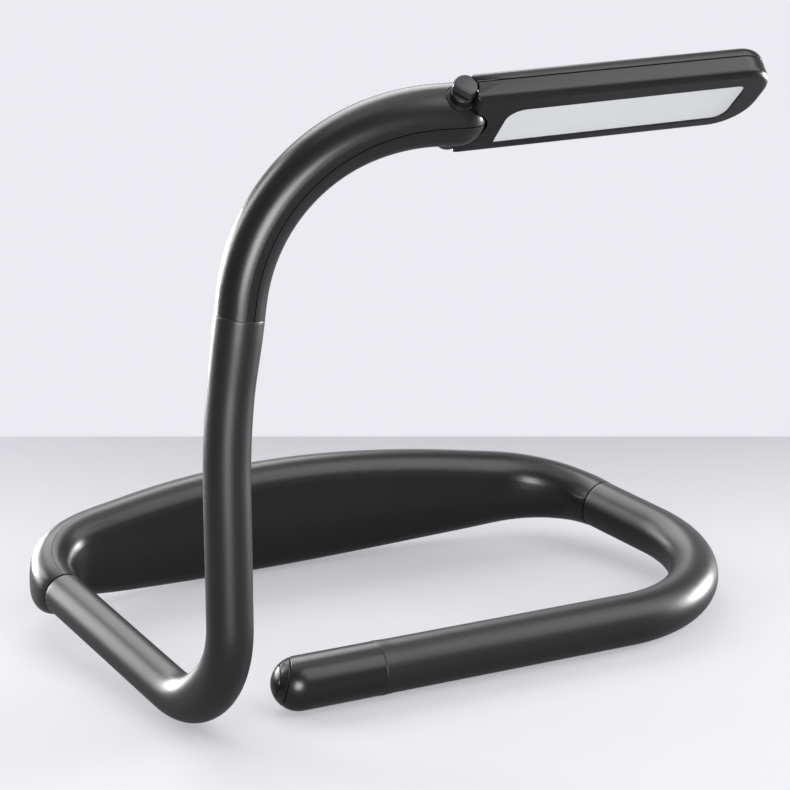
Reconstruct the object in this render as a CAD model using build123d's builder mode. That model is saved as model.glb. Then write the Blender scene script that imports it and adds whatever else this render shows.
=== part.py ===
"""Neck reading light: a moulded neck band, two goosenecks, a rigid arm, a flat lamp head and a switch cap.

Millimetres, +Z up. The light lies on the plane z = 0 as it does on a table. The neck band is at the back
(+Y), the ring opens to the front (-Y), the upright stands at the front left and the head reaches to +X.
"""
from build123d import *
import math
import os

os.makedirs("parts", exist_ok=True)

# Ring plane: the band and both side rails share one plane, low at the front and high at the back
RING_RISE = 0.1              # rise of the plane for each millimetre towards the back
RING_ORIGIN = (1.8, 6.8, 10.2)

# Goosenecks: corners of their routes in space, with the radius that rounds each corner
LEFT_RADIUS = 5.4            # silicone sleeve on the left, up to the arm
RIGHT_RADIUS = 6.6           # silicone sleeve on the right, up to the end cap
SLEEVE_BORE = 2.7
CORE_RADIUS = 2.6            # bending wire and two leads moulded into one cord
CORE_TAIL = 6.5              # length of core held in a crimped ferrule at each end
ROOT_FLEX = 16.0             # length beside the band where a gooseneck swings
SEAM_GAP = 0.25              # hairline gap between a sleeve and the moulding it meets

LEFT_FOOT_CORNER = Vector(-69.1, -46.4, 2.05)
LEFT_FOOT_BEND = 24.0
UPRIGHT_BEND = 200.0
ARM_SEAM = Vector(-64.7, -43.7, 99.6)
RIGHT_FRONT_CORNER = Vector(91.9, -28.7, 6.65)
RIGHT_FRONT_BEND = 36.0
CAP_SEAM = Vector(-23.1, -30.0, 6.65)

# Plan of the moulded band, as points of the ring plane
BAND_LEFT_END = Vector(-84.1, 28.3)
BAND_BACK = Vector(-8.5, 59.3)
BAND_RIGHT_END = Vector(73.9, 29.3)
BAND_CORNER_RUN = 19.2       # from each end of the band to its corner, in line with the rail
BAND_LEFT_BEND = 17.0
BAND_BACK_BEND = 350.0
BAND_RIGHT_BEND = 27.0

# Section of the band: a tube at both ends, a tall oval bulge round the battery between them
BULGE_HALF_HEIGHT = 15.65
BULGE_HALF_WIDTH = 7.2
BULGE_PEAK = 0.45            # where along the band the bulge is tallest, 0 at the left end
BULGE_LEFT_POWER = 0.9       # how early the upper half fills out on the left
BULGE_RIGHT_POWER = 1.25     # and how late on the right
BULGE_LOW_LEFT_POWER = 0.6   # the lower half fills out earlier than the upper one
BULGE_LOW_RIGHT_POWER = 1.1
BULGE_SQUARENESS = 0.14      # how much smaller the crest radius is than the half width
BAND_WALL = 1.5
BAND_STATIONS = [0, 0.035, 0.07, 0.105, 0.14, 0.19, 0.26, 0.34, 0.42, 0.5, 0.58, 0.66, 0.73, 0.79,
                 0.84, 0.88, 0.92, 0.96, 1]  # places of its sections, closer together in the corners
PARTING_GAP = 0.1            # shadow gap between two mating shells

# Battery, board and socket inside the bulge: length along the band, thickness, height
CELL_SIZE = (44.0, 7.6, 18.0)
CELL_PLACE = 0.42
CELL_SHIFT = -0.3            # the cell lies a little towards the neck
PAD_SIZE = (30.0, 0.6, 12.0)
BOARD_SIZE = (19.0, 1.0, 15.0)
BOARD_PLACE = 0.66
BOARD_SHIFT = 2.15           # the board lies beside the socket, towards the outside
BOARD_DROP = 2.2             # and its middle is this far under the centre line
SOCKET_SIZE = (8.9, 3.2, 7.4)
SOCKET_SHELL = 0.35
SOCKET_CORNER = 1.5
SOCKET_SINK = 0.5            # the mouth of the socket stands back from the moulding
SCREW_SPACING = 14.0
SCREW_RISE = 2.0
LENS_RADIUS = 1.05
LENS_RISE = 5.0
LEAD_RADIUS = 0.7

# Rigid arm, drawn in its own upright plane that turns a little towards the front
ARM_YAW = 8.0
ARM_LEAN = 7.85              # degrees from upright where the arm starts
ARM_RISE = 7.4               # straight run, then two arcs, then a short run to the hinge
ARM_BEND, ARM_TURN = 42.9, 62.7
ARM_NOSE_BEND, ARM_NOSE_TURN = 50.5, 19.3
ARM_NOSE_RUN = 4.2
ARM_BASE_RADIUS = 5.55
ARM_TIP_RADIUS = 7.0
ARM_WALL = 1.5
ARM_HOLLOW = 0.86            # share of the arm that is hollow
ARM_STATIONS = 14
ARM_SPLIT = 1.9              # the inner cover starts this far from the centre line, on the hollow side
ARM_SEAM_GAP = 0.22          # seam between the arm's two shells
TONGUE_HALF = 6.0            # half the width between the pockets for the knuckles
POCKET_RADIUS = 3.65

# Lamp head, drawn in a frame at the hinge pin: u along the head, v across it, w out of its top
HEAD_RISE = 2.5              # degrees
HEAD_ROLL = 43.3             # degrees that the lit side leans towards the front
HEAD_WIDTH = 21.9
HEAD_ABOVE = 3.6             # from the hinge pin up to the head's top
HEAD_BELOW = 4.1             # and down to its lit side
HEAD_REACH = 75.0            # from the hinge pin to the far end
HEAD_CORNER = 8.6            # rounding of the far corners
HEAD_START = 1.6             # where the shells begin beside the knuckles
HEAD_WALL = 1.2
COVER_DEPTH = 2.2            # height of the top cover on the side wall
COVER_LIP = 1.0              # how far its locating lip reaches into the base
COVER_LIP_WALL = 0.7
HEAD_TOP_ROUND = 2.0
HEAD_LOW_ROUND = 1.2
KNUCKLE_RADIUS = 3.3
KNUCKLE_CUT = 3.5            # hollow of the shells round the knuckles
KNUCKLE_ROUND = 0.6
KNUCKLE_STEP = 2.2           # the front knuckle is cut back this far below a slanting line
KNUCKLE_STEP_SLANT = -50.0   # degrees
KNUCKLE_STEP_DROP = 0.9      # how far the line passes from the pin's centre
KNUCKLE_HALF = 6.6           # half the gap between the knuckles
SLOT_RADIUS = 7.6            # round hollow of the head about the arm's nose
YOKE_END = 8.8
YOKE_HALF_WIDTH = 8.9
PIN_RADIUS = 1.2
PIN_PLAY = 0.05
PIN_HALF = 8.3
WASHER_THICK = 0.5
WASHER_RADIUS = 3.2
RUNNING_GAP = 0.05

# Light window, diffuser and light strip
WINDOW_START, WINDOW_END = 9.4, 67.8
WINDOW_HALF = 7.4
WINDOW_SHIFT = 1.8           # the window lies nearer the rear edge
WINDOW_CORNER = 4.8
WINDOW_SINK = 0.85           # the diffuser stands back from the lit side
DIFFUSER_RIM = 0.4
DIFFUSER_THICK = 0.8
STRIP_START, STRIP_END = 10.6, 68.4
STRIP_HALF = 5.0
STRIP_LEVEL = -0.3
STRIP_THICK = 0.8
LED_COUNT = 12
LED_PITCH = 4.9
LED_SIZE = (2.8, 3.5, 0.7)

# End cap with the switch: lengths along its axis from the seam with the sleeve
CAP_RADIUS = 6.65
CAP_BORE = 5.0
CAP_LENGTH = 28.0
CAP_ROUND = 1.25
CAP_SOCKET = 25.9            # where the wider bore for the bezel begins
BEZEL_RADIUS = 5.3
BEZEL_BORE = 4.55
BEZEL_END = 28.8
BEZEL_ROUND = 0.35
BUTTON_RADIUS = 4.4
BUTTON_START = 26.35
BUTTON_END = 29.6
BUTTON_WALL = 1.2
BUTTON_ROUND = 0.8
BUTTON_STEM = 26.05
BUTTON_STEM_RADIUS = 1.2
SWITCH_BOARD = (22.6, 23.4)
SWITCH_SIZE = 6.0
SWITCH_TOP = 25.0
PLUNGER_TOP = 25.6
PLUNGER_RADIUS = 1.5

tilt = math.atan(RING_RISE)
ring = Plane(origin=RING_ORIGIN, x_dir=(1, 0, 0), z_dir=(0, -math.sin(tilt), math.cos(tilt)))


def finish(builder, name):
    """Label a finished piece and write it to its own file."""
    builder.part.label = name
    export_step(builder.part, f"parts/{name}.step")


def corner_arc(before, corner, after, radius):
    """Start, middle and end of the arc that rounds a corner between two straight runs."""
    back, ahead = (before - corner).normalized(), (after - corner).normalized()
    half = math.radians(back.get_angle(ahead)) / 2
    centre = corner + (back + ahead).normalized() * (radius / math.sin(half))
    middle = centre + (corner - centre).normalized() * radius
    reach = radius / math.tan(half)
    return corner + back * reach, middle, corner + ahead * reach


def straight(start, end):
    """A straight piece of route."""
    with BuildLine() as run:
        Line(start, end)
    return run.wire()


def curved(arc):
    """A round piece of route from its start, middle and end."""
    with BuildLine() as run:
        ThreePointArc(*arc)
    return run.wire()


def rod(route, radius, bore=0.0):
    """A round rod or tube along one piece of route."""
    with BuildPart() as piece:
        with BuildSketch(Plane(origin=route @ 0, z_dir=route % 0)):
            Circle(radius)
            if bore:
                Circle(bore, mode=Mode.SUBTRACT)
        sweep(path=route)
    return piece


def gooseneck(name, route, sleeve_radius, core_route=None):
    """One stretch of gooseneck: a silicone skin round its core."""
    finish(rod(route, sleeve_radius, SLEEVE_BORE), f"{name}_skin")
    finish(rod(core_route or route, CORE_RADIUS), f"{name}_core")


# Band: the route that its sections follow, its end runs in line with the two rails
def towards(rail_corner, band_end):
    """Corner of the band in the ring plane, on the line from the rail through the band's end."""
    foot = ring.to_local_coords(rail_corner)
    run = (band_end - Vector(foot.X, foot.Y)).normalized()
    return band_end + run * BAND_CORNER_RUN


band_points = [
    BAND_LEFT_END,
    towards(LEFT_FOOT_CORNER, BAND_LEFT_END),
    BAND_BACK,
    towards(RIGHT_FRONT_CORNER, BAND_RIGHT_END),
    BAND_RIGHT_END,
]
band_bends = [BAND_LEFT_BEND, BAND_BACK_BEND, BAND_RIGHT_BEND]

with BuildLine() as band_line:
    FilletPolyline(*band_points, radius=band_bends)
band_route = ring.from_local_coords(band_line.wire())


def bulge(place, left_power=BULGE_LEFT_POWER, right_power=BULGE_RIGHT_POWER):
    """How far the band has swollen at a place along it, from 0 at its ends to 1 at the battery."""
    if place < BULGE_PEAK:
        return math.sin(math.pi / 2 * place / BULGE_PEAK) ** left_power
    return math.sin(math.pi / 2 * (1 - place) / (1 - BULGE_PEAK)) ** right_power


def band_size(place):
    """Half width, rise to the upper crest, drop to the lower crest and crest radius of the band's section."""
    swell = bulge(place)
    end = LEFT_RADIUS if place < BULGE_PEAK else RIGHT_RADIUS
    half_width = end + (BULGE_HALF_WIDTH - end) * swell
    rise = end + (BULGE_HALF_HEIGHT - end) * swell
    drop = end + (BULGE_HALF_HEIGHT - end) * bulge(place, BULGE_LOW_LEFT_POWER, BULGE_LOW_RIGHT_POWER)
    return half_width, rise, drop, half_width * (1 - BULGE_SQUARENESS * swell)


def band_frame(place):
    """Plane square to the band: x points out of the ring, y is up, z runs along the band."""
    along = (band_route % place).normalized()
    return Plane(origin=band_route @ place, x_dir=ring.z_dir.cross(along), z_dir=along)


def flank_end(half_width, reach, crest):
    """Where a flat side of the oval turns into the round crest at that reach from the middle."""
    if half_width - crest < 0.01:
        flank, lean = half_width, math.radians(17)
    else:
        rise = reach - crest
        flank = (half_width ** 2 + rise ** 2 - crest ** 2) / (2 * (half_width - crest))
        lean = math.atan2(rise, flank - half_width)
    return half_width - flank + flank * math.cos(lean), flank * math.sin(lean)


def band_section(place, inset):
    """An upright oval of four arcs, two flat sides and two round crests, drawn smaller by the inset."""
    half_width, rise, drop, crest = (size - inset for size in band_size(place))
    upper_x, upper_y = flank_end(half_width, rise, crest)
    lower_x, lower_y = flank_end(half_width, drop, crest)
    with BuildSketch(band_frame(place)) as section:
        with BuildLine():
            ThreePointArc((lower_x, -lower_y), (half_width, 0), (upper_x, upper_y))
            ThreePointArc((upper_x, upper_y), (0, rise), (-upper_x, upper_y))
            ThreePointArc((-upper_x, upper_y), (-half_width, 0), (-lower_x, -lower_y))
            ThreePointArc((-lower_x, -lower_y), (0, -drop), (lower_x, -lower_y))
        make_face()
    return section.sketch


def band_solid(inset):
    """The band lofted through its sections."""
    with BuildPart() as solid:
        loft([band_section(place, inset) for place in BAND_STATIONS])
    return solid


def neck_side(gap):
    """Everything on the neck's side of the band's centre line, and the parting gap beyond it."""
    start = band_points[0] + (band_points[0] - band_points[1]).normalized() * ROOT_FLEX
    end = band_points[-1] + (band_points[-1] - band_points[-2]).normalized() * ROOT_FLEX
    with BuildPart() as region:
        with BuildSketch(ring.offset(-BULGE_HALF_HEIGHT * 1.5)):
            with BuildLine():
                FilletPolyline(start, *band_points[1:-1], end, radius=band_bends)
                Line(end, start)
            make_face()
            if gap:
                offset(amount=gap)
        extrude(amount=BULGE_HALF_HEIGHT * 3)
    return region


band_outside = band_solid(0)
band_inside = band_solid(BAND_WALL)
board_frame = band_frame(BOARD_PLACE)
board_half_height = band_size(BOARD_PLACE)[2]
lens_frame = board_frame.offset(BOARD_SIZE[0] / 4)


def upright_box(frame, shift, rise, size):
    """A block in the band: its middle shifted out and up from the centre line."""
    with BuildPart() as block:
        with BuildSketch(frame.offset(-size[0] / 2)):
            with Locations((shift, rise)):
                Rectangle(size[1], size[2])
        extrude(amount=size[0])
    return block


def across(frame, along, rise):
    """Plane in the band that looks outwards, its origin along the band and up from the centre line."""
    origin = frame.origin + frame.z_dir * along + frame.y_dir * rise
    return Plane(origin=origin, x_dir=frame.z_dir, z_dir=frame.x_dir)


with BuildPart() as band_shell:
    add(band_outside.part)
    add(band_inside.part, mode=Mode.SUBTRACT)
    with BuildSketch(Plane(origin=board_frame.origin, x_dir=board_frame.z_dir, z_dir=-ring.z_dir)):
        RectangleRounded(SOCKET_SIZE[0] + 0.3, SOCKET_SIZE[1] + 0.3, SOCKET_CORNER)
    extrude(amount=board_half_height + 2, mode=Mode.SUBTRACT)
    with BuildSketch(across(lens_frame, 0, LENS_RISE)):
        Circle(LENS_RADIUS + 0.05)
    extrude(amount=BULGE_HALF_WIDTH * 2, mode=Mode.SUBTRACT)

# Inner cover: the neck side, with two bosses that carry the board
with BuildPart() as inner_cover:
    add(band_shell.part)
    add(neck_side(0).part, mode=Mode.INTERSECT)
    for side in (-1, 1):
        boss_plane = across(board_frame, side * SCREW_SPACING / 2, SCREW_RISE)
        with BuildSketch(boss_plane.offset(BOARD_SHIFT - BOARD_SIZE[1] / 2 - 0.05)):
            Circle(1.9)
        extrude(until=Until.NEXT, dir=-board_frame.x_dir)
        with BuildSketch(boss_plane.offset(BOARD_SHIFT - BOARD_SIZE[1] / 2 - 0.05)):
            Circle(0.62)
        extrude(amount=-4.5, mode=Mode.SUBTRACT)
finish(inner_cover, "inner_cover")

with BuildPart() as outer_cover:
    add(band_shell.part)
    add(neck_side(PARTING_GAP).part, mode=Mode.SUBTRACT)
finish(outer_cover, "outer_cover")

cell_frame = band_frame(CELL_PLACE)
finish(upright_box(cell_frame, CELL_SHIFT, 0, CELL_SIZE), "battery_cell")
finish(upright_box(cell_frame, CELL_SHIFT + (CELL_SIZE[1] + PAD_SIZE[1]) / 2, 0, PAD_SIZE), "battery_pad")

with BuildPart() as charge_board:
    add(upright_box(board_frame, BOARD_SHIFT, -BOARD_DROP, BOARD_SIZE).part)
    for side in (-1, 1):
        with BuildSketch(across(board_frame, side * SCREW_SPACING / 2, SCREW_RISE)):
            Circle(0.8)
        extrude(amount=BULGE_HALF_WIDTH, mode=Mode.SUBTRACT)
finish(charge_board, "charge_board")

with BuildPart() as board_screws:
    for side in (-1, 1):
        with BuildSketch(across(board_frame, side * SCREW_SPACING / 2, SCREW_RISE).offset(-2.2)):
            Circle(0.6)
        extrude(amount=2.2 + BOARD_SHIFT + BOARD_SIZE[1] / 2)
        with BuildSketch(across(board_frame, side * SCREW_SPACING / 2, SCREW_RISE).offset(
                BOARD_SHIFT + BOARD_SIZE[1] / 2 + 0.02)):
            Circle(1.2)
        extrude(amount=0.8)
finish(board_screws, "board_screws")

# Charging socket: a drawn metal shell with its tongue, mouth down in the lower crest of the bulge
socket_mouth = Plane(
    origin=board_frame.origin - ring.z_dir * (board_half_height - SOCKET_SINK),
    x_dir=board_frame.z_dir,
    z_dir=ring.z_dir,
)
with BuildPart() as charging_socket:
    with BuildSketch(socket_mouth):
        RectangleRounded(SOCKET_SIZE[0], SOCKET_SIZE[1], SOCKET_CORNER)
    extrude(amount=SOCKET_SIZE[2])
    with BuildSketch(socket_mouth):
        RectangleRounded(SOCKET_SIZE[0] - 2 * SOCKET_SHELL, SOCKET_SIZE[1] - 2 * SOCKET_SHELL,
                         SOCKET_CORNER - SOCKET_SHELL)
        Rectangle(SOCKET_SIZE[0] - 2.4, 0.7, mode=Mode.SUBTRACT)
    extrude(amount=SOCKET_SIZE[2] - 1.2, mode=Mode.SUBTRACT)
finish(charging_socket, "charging_socket")

with BuildPart() as charge_light_lens:
    with BuildSketch(across(lens_frame, 0, LENS_RISE).offset(BULGE_HALF_WIDTH - BAND_WALL - 1.6)):
        Circle(LENS_RADIUS)
    extrude(amount=3.0)
    add(band_outside.part, mode=Mode.INTERSECT)
finish(charge_light_lens, "charge_light_lens")

# Left gooseneck, from the band down to the foot and up to the arm
arm_side = Vector(math.cos(math.radians(ARM_YAW)), -math.sin(math.radians(ARM_YAW)), 0)
arm_start = arm_side * math.sin(math.radians(ARM_LEAN)) + Vector(0, 0, math.cos(math.radians(ARM_LEAN)))
UPRIGHT_CORNER = ARM_SEAM - arm_start * 23.4

left_seam = ring.from_local_coords(BAND_LEFT_END)
left_down = (LEFT_FOOT_CORNER - left_seam).normalized()
left_foot = corner_arc(left_seam, LEFT_FOOT_CORNER, UPRIGHT_CORNER, LEFT_FOOT_BEND)
upright_bow = corner_arc(LEFT_FOOT_CORNER, UPRIGHT_CORNER, ARM_SEAM, UPRIGHT_BEND)
left_root_end = left_seam + left_down * ROOT_FLEX

gooseneck("left_root", straight(left_seam + left_down * SEAM_GAP, left_root_end), LEFT_RADIUS,
          straight(left_seam - left_down * CORE_TAIL, left_root_end))
gooseneck("left_rail", straight(left_root_end, left_foot[0]), LEFT_RADIUS)
gooseneck("left_bend", curved(left_foot), LEFT_RADIUS)
gooseneck("upright", straight(left_foot[2], upright_bow[0]), LEFT_RADIUS)
gooseneck("upright_flex", curved(upright_bow), LEFT_RADIUS)
gooseneck("upright_top", straight(upright_bow[2], ARM_SEAM - arm_start * SEAM_GAP), LEFT_RADIUS,
          straight(upright_bow[2], ARM_SEAM + arm_start * CORE_TAIL))

# Right gooseneck, from the band down to the front and across to the end cap
right_seam = ring.from_local_coords(BAND_RIGHT_END)
right_down = (RIGHT_FRONT_CORNER - right_seam).normalized()
right_bend = corner_arc(right_seam, RIGHT_FRONT_CORNER, CAP_SEAM, RIGHT_FRONT_BEND)
right_root_end = right_seam + right_down * ROOT_FLEX
cap_axis = (CAP_SEAM - RIGHT_FRONT_CORNER).normalized()

gooseneck("right_root", straight(right_seam + right_down * SEAM_GAP, right_root_end), RIGHT_RADIUS,
          straight(right_seam - right_down * CORE_TAIL, right_root_end))
gooseneck("right_rail", straight(right_root_end, right_bend[0]), RIGHT_RADIUS)
gooseneck("right_bend", curved(right_bend), RIGHT_RADIUS)
gooseneck("front_rail", straight(right_bend[2], CAP_SEAM - cap_axis * SEAM_GAP), RIGHT_RADIUS,
          straight(right_bend[2], CAP_SEAM + cap_axis * CORE_TAIL))


def ferrule(seam, inwards):
    """A crimped metal sleeve round the tail of a core, inside the moulding it enters."""
    with BuildPart() as sleeve:
        with BuildSketch(Plane(origin=seam + inwards * 0.6, z_dir=inwards)):
            Circle(3.4)
            Circle(CORE_RADIUS + 0.04, mode=Mode.SUBTRACT)
        extrude(amount=CORE_TAIL - 0.6)
        with BuildSketch(Plane(origin=seam + inwards * (CORE_TAIL / 2), z_dir=inwards)):
            Circle(3.4)
            Circle(3.0, mode=Mode.SUBTRACT)
        extrude(amount=1.0, mode=Mode.SUBTRACT)
    return sleeve


finish(ferrule(left_seam, -left_down), "left_ferrule")
finish(ferrule(right_seam, -right_down), "right_ferrule")
finish(ferrule(ARM_SEAM, arm_start), "arm_ferrule")
finish(ferrule(CAP_SEAM, cap_axis), "end_ferrule")


def band_lead(stops):
    """A wire inside the band, through stops given by place along it, shift outwards and rise."""
    points = [band_frame(place).from_local_coords(Vector(shift, rise, 0)) for place, shift, rise in stops]
    with BuildLine() as run:
        FilletPolyline(*points, radius=3.0)
    return rod(run.wire(), LEAD_RADIUS)


finish(band_lead([(0.05, 0, 0), (0.13, 0, 4.5), (0.22, 0, 9.6), (0.28, 0, 10.6), (0.42, -0.5, 10.8),
                  (0.56, -0.4, 10.8), (0.6, 0.4, 8.2), (0.625, 0.5, 5.3)]), "left_band_lead")
finish(band_lead([(0.95, 0, 0), (0.88, 0, 0.6), (0.8, 0.6, 0.8), (0.73, 2.1, 0.8)]), "right_band_lead")

# Rigid arm: round sections along a straight run and two arcs, in two shells
arm_plane = Plane(origin=ARM_SEAM, x_dir=arm_side, z_dir=arm_side.cross(Vector(0, 0, 1)))


def arm_path(shift=0.0, tail=ARM_NOSE_RUN):
    """The arm's centre line, or a line beside it, as edges in the arm's plane."""
    lean = math.radians(ARM_LEAN)
    start = (shift * math.cos(lean), -shift * math.sin(lean))
    with BuildLine() as path:
        rise = PolarLine(start, ARM_RISE, 90 - ARM_LEAN)
        bend = JernArc(rise @ 1, rise % 1, ARM_BEND - shift, -ARM_TURN)
        nose = JernArc(bend @ 1, bend % 1, ARM_NOSE_BEND - shift, -ARM_NOSE_TURN)
        Line(nose @ 1, nose @ 1 + (nose % 1) * tail)
    return path


arm_route = arm_plane.from_local_coords(arm_path().wire())
hinge = arm_route @ 1

yaw, rise_angle, roll = (math.radians(angle) for angle in (ARM_YAW, HEAD_RISE, HEAD_ROLL))
head_along = Vector(math.cos(yaw) * math.cos(rise_angle), -math.sin(yaw) * math.cos(rise_angle),
                    math.sin(rise_angle))
head_top = Vector(0, math.sin(roll), math.cos(roll))
head_top = (head_top - head_along * head_top.dot(head_along)).normalized()
head = Plane(origin=hinge, x_dir=head_along, z_dir=head_top)
hinge_plane = Plane(origin=hinge, x_dir=head_along, z_dir=head.y_dir)


def arm_solid(inset, share):
    """Round sections that grow from the base to the nose."""
    with BuildPart() as solid:
        sections = []
        for station in range(ARM_STATIONS):
            place = share * station / (ARM_STATIONS - 1)
            radius = ARM_BASE_RADIUS + (ARM_TIP_RADIUS - ARM_BASE_RADIUS) * place - inset
            frame = Plane(origin=arm_route @ place, x_dir=arm_plane.z_dir, z_dir=arm_route % place)
            with BuildSketch(frame) as section:
                Circle(radius)
            sections.append(section.sketch)
        loft(sections)
    return solid


def hollow_side(shift):
    """Everything on the hollow side of a line beside the arm's centre line."""
    path = arm_path(shift, ARM_NOSE_RUN + 2 * ARM_TIP_RADIUS)
    first, last = path.wire() @ 0, path.wire() @ 1
    with BuildPart() as region:
        with BuildSketch(arm_plane):
            with BuildLine():
                add(path.line)
                Polyline(last, (last.X, first.Y - ARM_BEND / 2), (first.X, first.Y - ARM_BEND / 2), first)
            make_face()
        extrude(amount=2 * ARM_TIP_RADIUS, both=True)
    return region


with BuildPart() as arm_body:
    add(arm_solid(0, 1.0).part)
    add(arm_solid(ARM_WALL, ARM_HOLLOW).part, mode=Mode.SUBTRACT)
    with Locations(Location(hinge)):
        Sphere(ARM_TIP_RADIUS)
    # Round pockets for the knuckles
    for side in (-1, 1):
        with BuildSketch(hinge_plane.offset(side * TONGUE_HALF)):
            Circle(POCKET_RADIUS)
        extrude(amount=side * ARM_TIP_RADIUS, mode=Mode.SUBTRACT)
    with BuildSketch(hinge_plane):
        Circle(PIN_RADIUS + PIN_PLAY)
    extrude(amount=2 * ARM_TIP_RADIUS, both=True, mode=Mode.SUBTRACT)

with BuildPart() as arm_inner_cover:
    add(arm_body.part)
    add(hollow_side(ARM_SPLIT + ARM_SEAM_GAP).part, mode=Mode.INTERSECT)
finish(arm_inner_cover, "arm_inner_cover")

with BuildPart() as arm_shell:
    add(arm_body.part)
    add(hollow_side(ARM_SPLIT).part, mode=Mode.SUBTRACT)
finish(arm_shell, "arm_shell")

arm_lead_route = arm_route.trim(CORE_TAIL * 1.15 / arm_route.length, ARM_HOLLOW - 0.02)
finish(rod(arm_lead_route, LEAD_RADIUS), "arm_lead")

with BuildPart() as friction_washers:
    for side in (-1, 1):
        with BuildSketch(hinge_plane.offset(side * (TONGUE_HALF + RUNNING_GAP))):
            Circle(WASHER_RADIUS)
            Circle(PIN_RADIUS + PIN_PLAY, mode=Mode.SUBTRACT)
        extrude(amount=side * WASHER_THICK)
finish(friction_washers, "friction_washers")


# Lamp head: two shells that clamp a yoke, round the light strip and its diffuser
def head_block(inset, low, high):
    """The head's outline drawn smaller by the inset, between two levels."""
    half = HEAD_WIDTH / 2 - inset
    start, end = HEAD_START, HEAD_REACH - inset
    with BuildPart() as block:
        with BuildSketch(head.offset(low)):
            with BuildLine():
                FilletPolyline((start, -half), (end, -half), (end, half), (start, half), radius=HEAD_CORNER - inset)
                Line((start, half), (start, -half))
            make_face()
        extrude(amount=high - low)
    return block


def window_block(margin, low, high):
    """The window's outline grown by a margin, between two levels."""
    with BuildPart() as block:
        with BuildSketch(head.offset(low)):
            with Locations(((WINDOW_START + WINDOW_END) / 2, WINDOW_SHIFT)):
                RectangleRounded(WINDOW_END - WINDOW_START + 2 * margin, 2 * (WINDOW_HALF + margin),
                                 WINDOW_CORNER + margin)
        extrude(amount=high - low)
    return block


bottom, top = -HEAD_BELOW, HEAD_ABOVE
parting = top - COVER_DEPTH
floor_level = bottom + HEAD_WALL

with BuildPart() as hinge_space:
    with Locations(Location(hinge)):
        Sphere(SLOT_RADIUS)
    with BuildSketch(hinge_plane):
        Circle(KNUCKLE_CUT)
    extrude(amount=HEAD_WIDTH, both=True)

with BuildPart() as head_base:
    add(head_block(0, bottom, parting - PARTING_GAP).part)
    fillet(head_base.faces().sort_by(Axis(hinge, head_top))[0].edges(), HEAD_LOW_ROUND)
    add(head_block(HEAD_WALL, floor_level, parting + 1).part, mode=Mode.SUBTRACT)
    add(window_block(0, bottom - 1, floor_level + 1).part, mode=Mode.SUBTRACT)
    add(hinge_space.part, mode=Mode.SUBTRACT)
finish(head_base, "head_base")

with BuildPart() as head_top_cover:
    add(head_block(0, parting, top).part)
    fillet(head_top_cover.faces().sort_by(Axis(hinge, head_top))[-1].edges(), HEAD_TOP_ROUND)
    add(head_block(HEAD_WALL + 0.05, parting - COVER_LIP, parting + 0.5).part)
    add(head_block(HEAD_WALL + 0.05 + COVER_LIP_WALL, parting - COVER_LIP - 1, top - HEAD_WALL).part,
        mode=Mode.SUBTRACT)
    add(hinge_space.part, mode=Mode.SUBTRACT)
finish(head_top_cover, "head_top_cover")

with BuildPart() as head_yoke:
    with BuildSketch(head.offset(floor_level + 0.05)):
        with Locations((YOKE_END / 2, 0)):
            Rectangle(YOKE_END, 2 * YOKE_HALF_WIDTH)
    extrude(amount=parting - COVER_LIP - floor_level + 1.2)
    with Locations(Location(hinge)):
        Sphere(SLOT_RADIUS, mode=Mode.SUBTRACT)
    with BuildSketch(hinge_plane):
        with Locations((-SLOT_RADIUS, 0)):
            Rectangle(2 * SLOT_RADIUS, 4 * SLOT_RADIUS)
    extrude(amount=HEAD_WIDTH, both=True, mode=Mode.SUBTRACT)
    for side in (-1, 1):
        with BuildSketch(hinge_plane.offset(side * KNUCKLE_HALF)):
            Circle(KNUCKLE_RADIUS)
        extrude(amount=side * (HEAD_WIDTH / 2 - KNUCKLE_HALF))
    rims = head_yoke.edges().filter_by(GeomType.CIRCLE).sort_by(Axis(hinge, head.y_dir))
    fillet([rims[0], rims[-1]], KNUCKLE_ROUND)
    for side in (-1, 1):
        with BuildSketch(hinge_plane.offset(side * KNUCKLE_HALF)):
            Circle(PIN_RADIUS + 0.02)
        extrude(amount=side * (PIN_HALF - KNUCKLE_HALF + 0.05), mode=Mode.SUBTRACT)
    # The front knuckle is cut back below a slanting line
    step_plane = hinge_plane.offset(-HEAD_WIDTH / 2 + KNUCKLE_STEP).rotated((0, 0, -KNUCKLE_STEP_SLANT))
    with BuildSketch(step_plane):
        with Locations((0, KNUCKLE_STEP_DROP + KNUCKLE_RADIUS)):
            Rectangle(4 * KNUCKLE_RADIUS, 2 * KNUCKLE_RADIUS)
    extrude(amount=-2 * KNUCKLE_STEP, mode=Mode.SUBTRACT)
finish(head_yoke, "head_yoke")

with BuildPart() as hinge_pin:
    with BuildSketch(hinge_plane):
        Circle(PIN_RADIUS)
    extrude(amount=PIN_HALF, both=True)
    chamfer(hinge_pin.edges().filter_by(GeomType.CIRCLE), 0.2)
finish(hinge_pin, "hinge_pin")

with BuildPart() as diffuser:
    add(window_block(DIFFUSER_RIM, floor_level + 0.02, floor_level + DIFFUSER_THICK).part)
    add(window_block(-0.08, bottom + WINDOW_SINK, floor_level + DIFFUSER_THICK).part)
finish(diffuser, "diffuser")

with BuildPart() as led_board:
    with BuildSketch(head.offset(STRIP_LEVEL)):
        with Locations(((STRIP_START + STRIP_END) / 2, 0)):
            Rectangle(STRIP_END - STRIP_START, 2 * STRIP_HALF)
    extrude(amount=STRIP_THICK)
finish(led_board, "led_board")

with BuildPart() as leds:
    with BuildSketch(head.offset(STRIP_LEVEL - 0.02 - LED_SIZE[2])):
        with Locations(((STRIP_START + STRIP_END) / 2, 0)):
            with GridLocations(LED_PITCH, 0, LED_COUNT, 1):
                Rectangle(LED_SIZE[0], LED_SIZE[1])
    extrude(amount=LED_SIZE[2])
finish(leds, "leds")

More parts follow.
